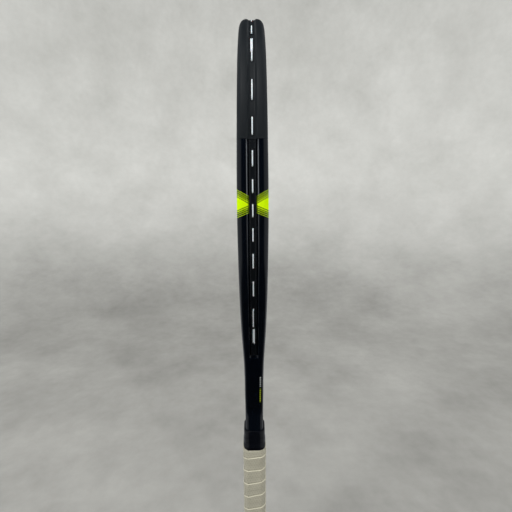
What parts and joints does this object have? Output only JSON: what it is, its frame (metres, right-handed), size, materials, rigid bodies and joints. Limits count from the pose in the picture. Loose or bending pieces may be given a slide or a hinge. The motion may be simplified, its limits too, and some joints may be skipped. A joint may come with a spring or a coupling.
{
  "type": "tennis racket",
  "caption": "Adult graphite tennis racket with hollow frame, throat bridge, woven strings, bumper guard, grommet strips, rubber collar and wrapped grip.",
  "frame": {"origin": "middle of the butt end", "axes": "+Z along the racket from the butt to the tip, X across the hoop, Y through the beam (the direction in which the ball is hit)"},
  "size_m": [0.264, 0.035, 0.685],
  "materials": {
    "carbon": "lacquered carbon fibre, matt grey-black hoop, gloss black shafts",
    "bumper": "moulded nylon, fine matt texture",
    "grommets": "moulded nylon, satin",
    "string": "silver-white monofilament",
    "pallet": "dense moulded foam",
    "foam": "light foam filling",
    "cap": "moulded, satin",
    "badge": "plain round badge",
    "staple": "zinc-plated wire",
    "base_grip": "cushioned synthetic leather",
    "tape": "vinyl finishing tape",
    "overgrip": "pale perforated polyurethane tape, matt",
    "collar": "soft rubber, satin"
  },
  "bodies": {
    "racket": {"frame_tube": "carbon", "throat_bridge": "carbon", "bumper_guard": "bumper", "grommet_strip_left": "grommets", "grommet_strip_right": "grommets", "throat_grommet_strip": "grommets", "main_string": "string", "cross_string": "string", "handle_pallet": "pallet", "handle_foam_left": "foam", "handle_foam_right": "foam", "butt_cap": "cap", "butt_cap_badge": "badge", "butt_cap_staples": "staple", "base_grip": "base_grip", "base_grip_staple": "staple", "base_grip_tape": "tape", "overgrip": "overgrip", "overgrip_tape": "tape"},
    "collar": {"rubber_collar": "collar"}
  },
  "joints": [
    {"name": "collar_slide", "type": "slide", "parent": "racket", "child": "collar", "axis": [0, 0, 1], "range_m": [0, 0.017]}
  ]
}
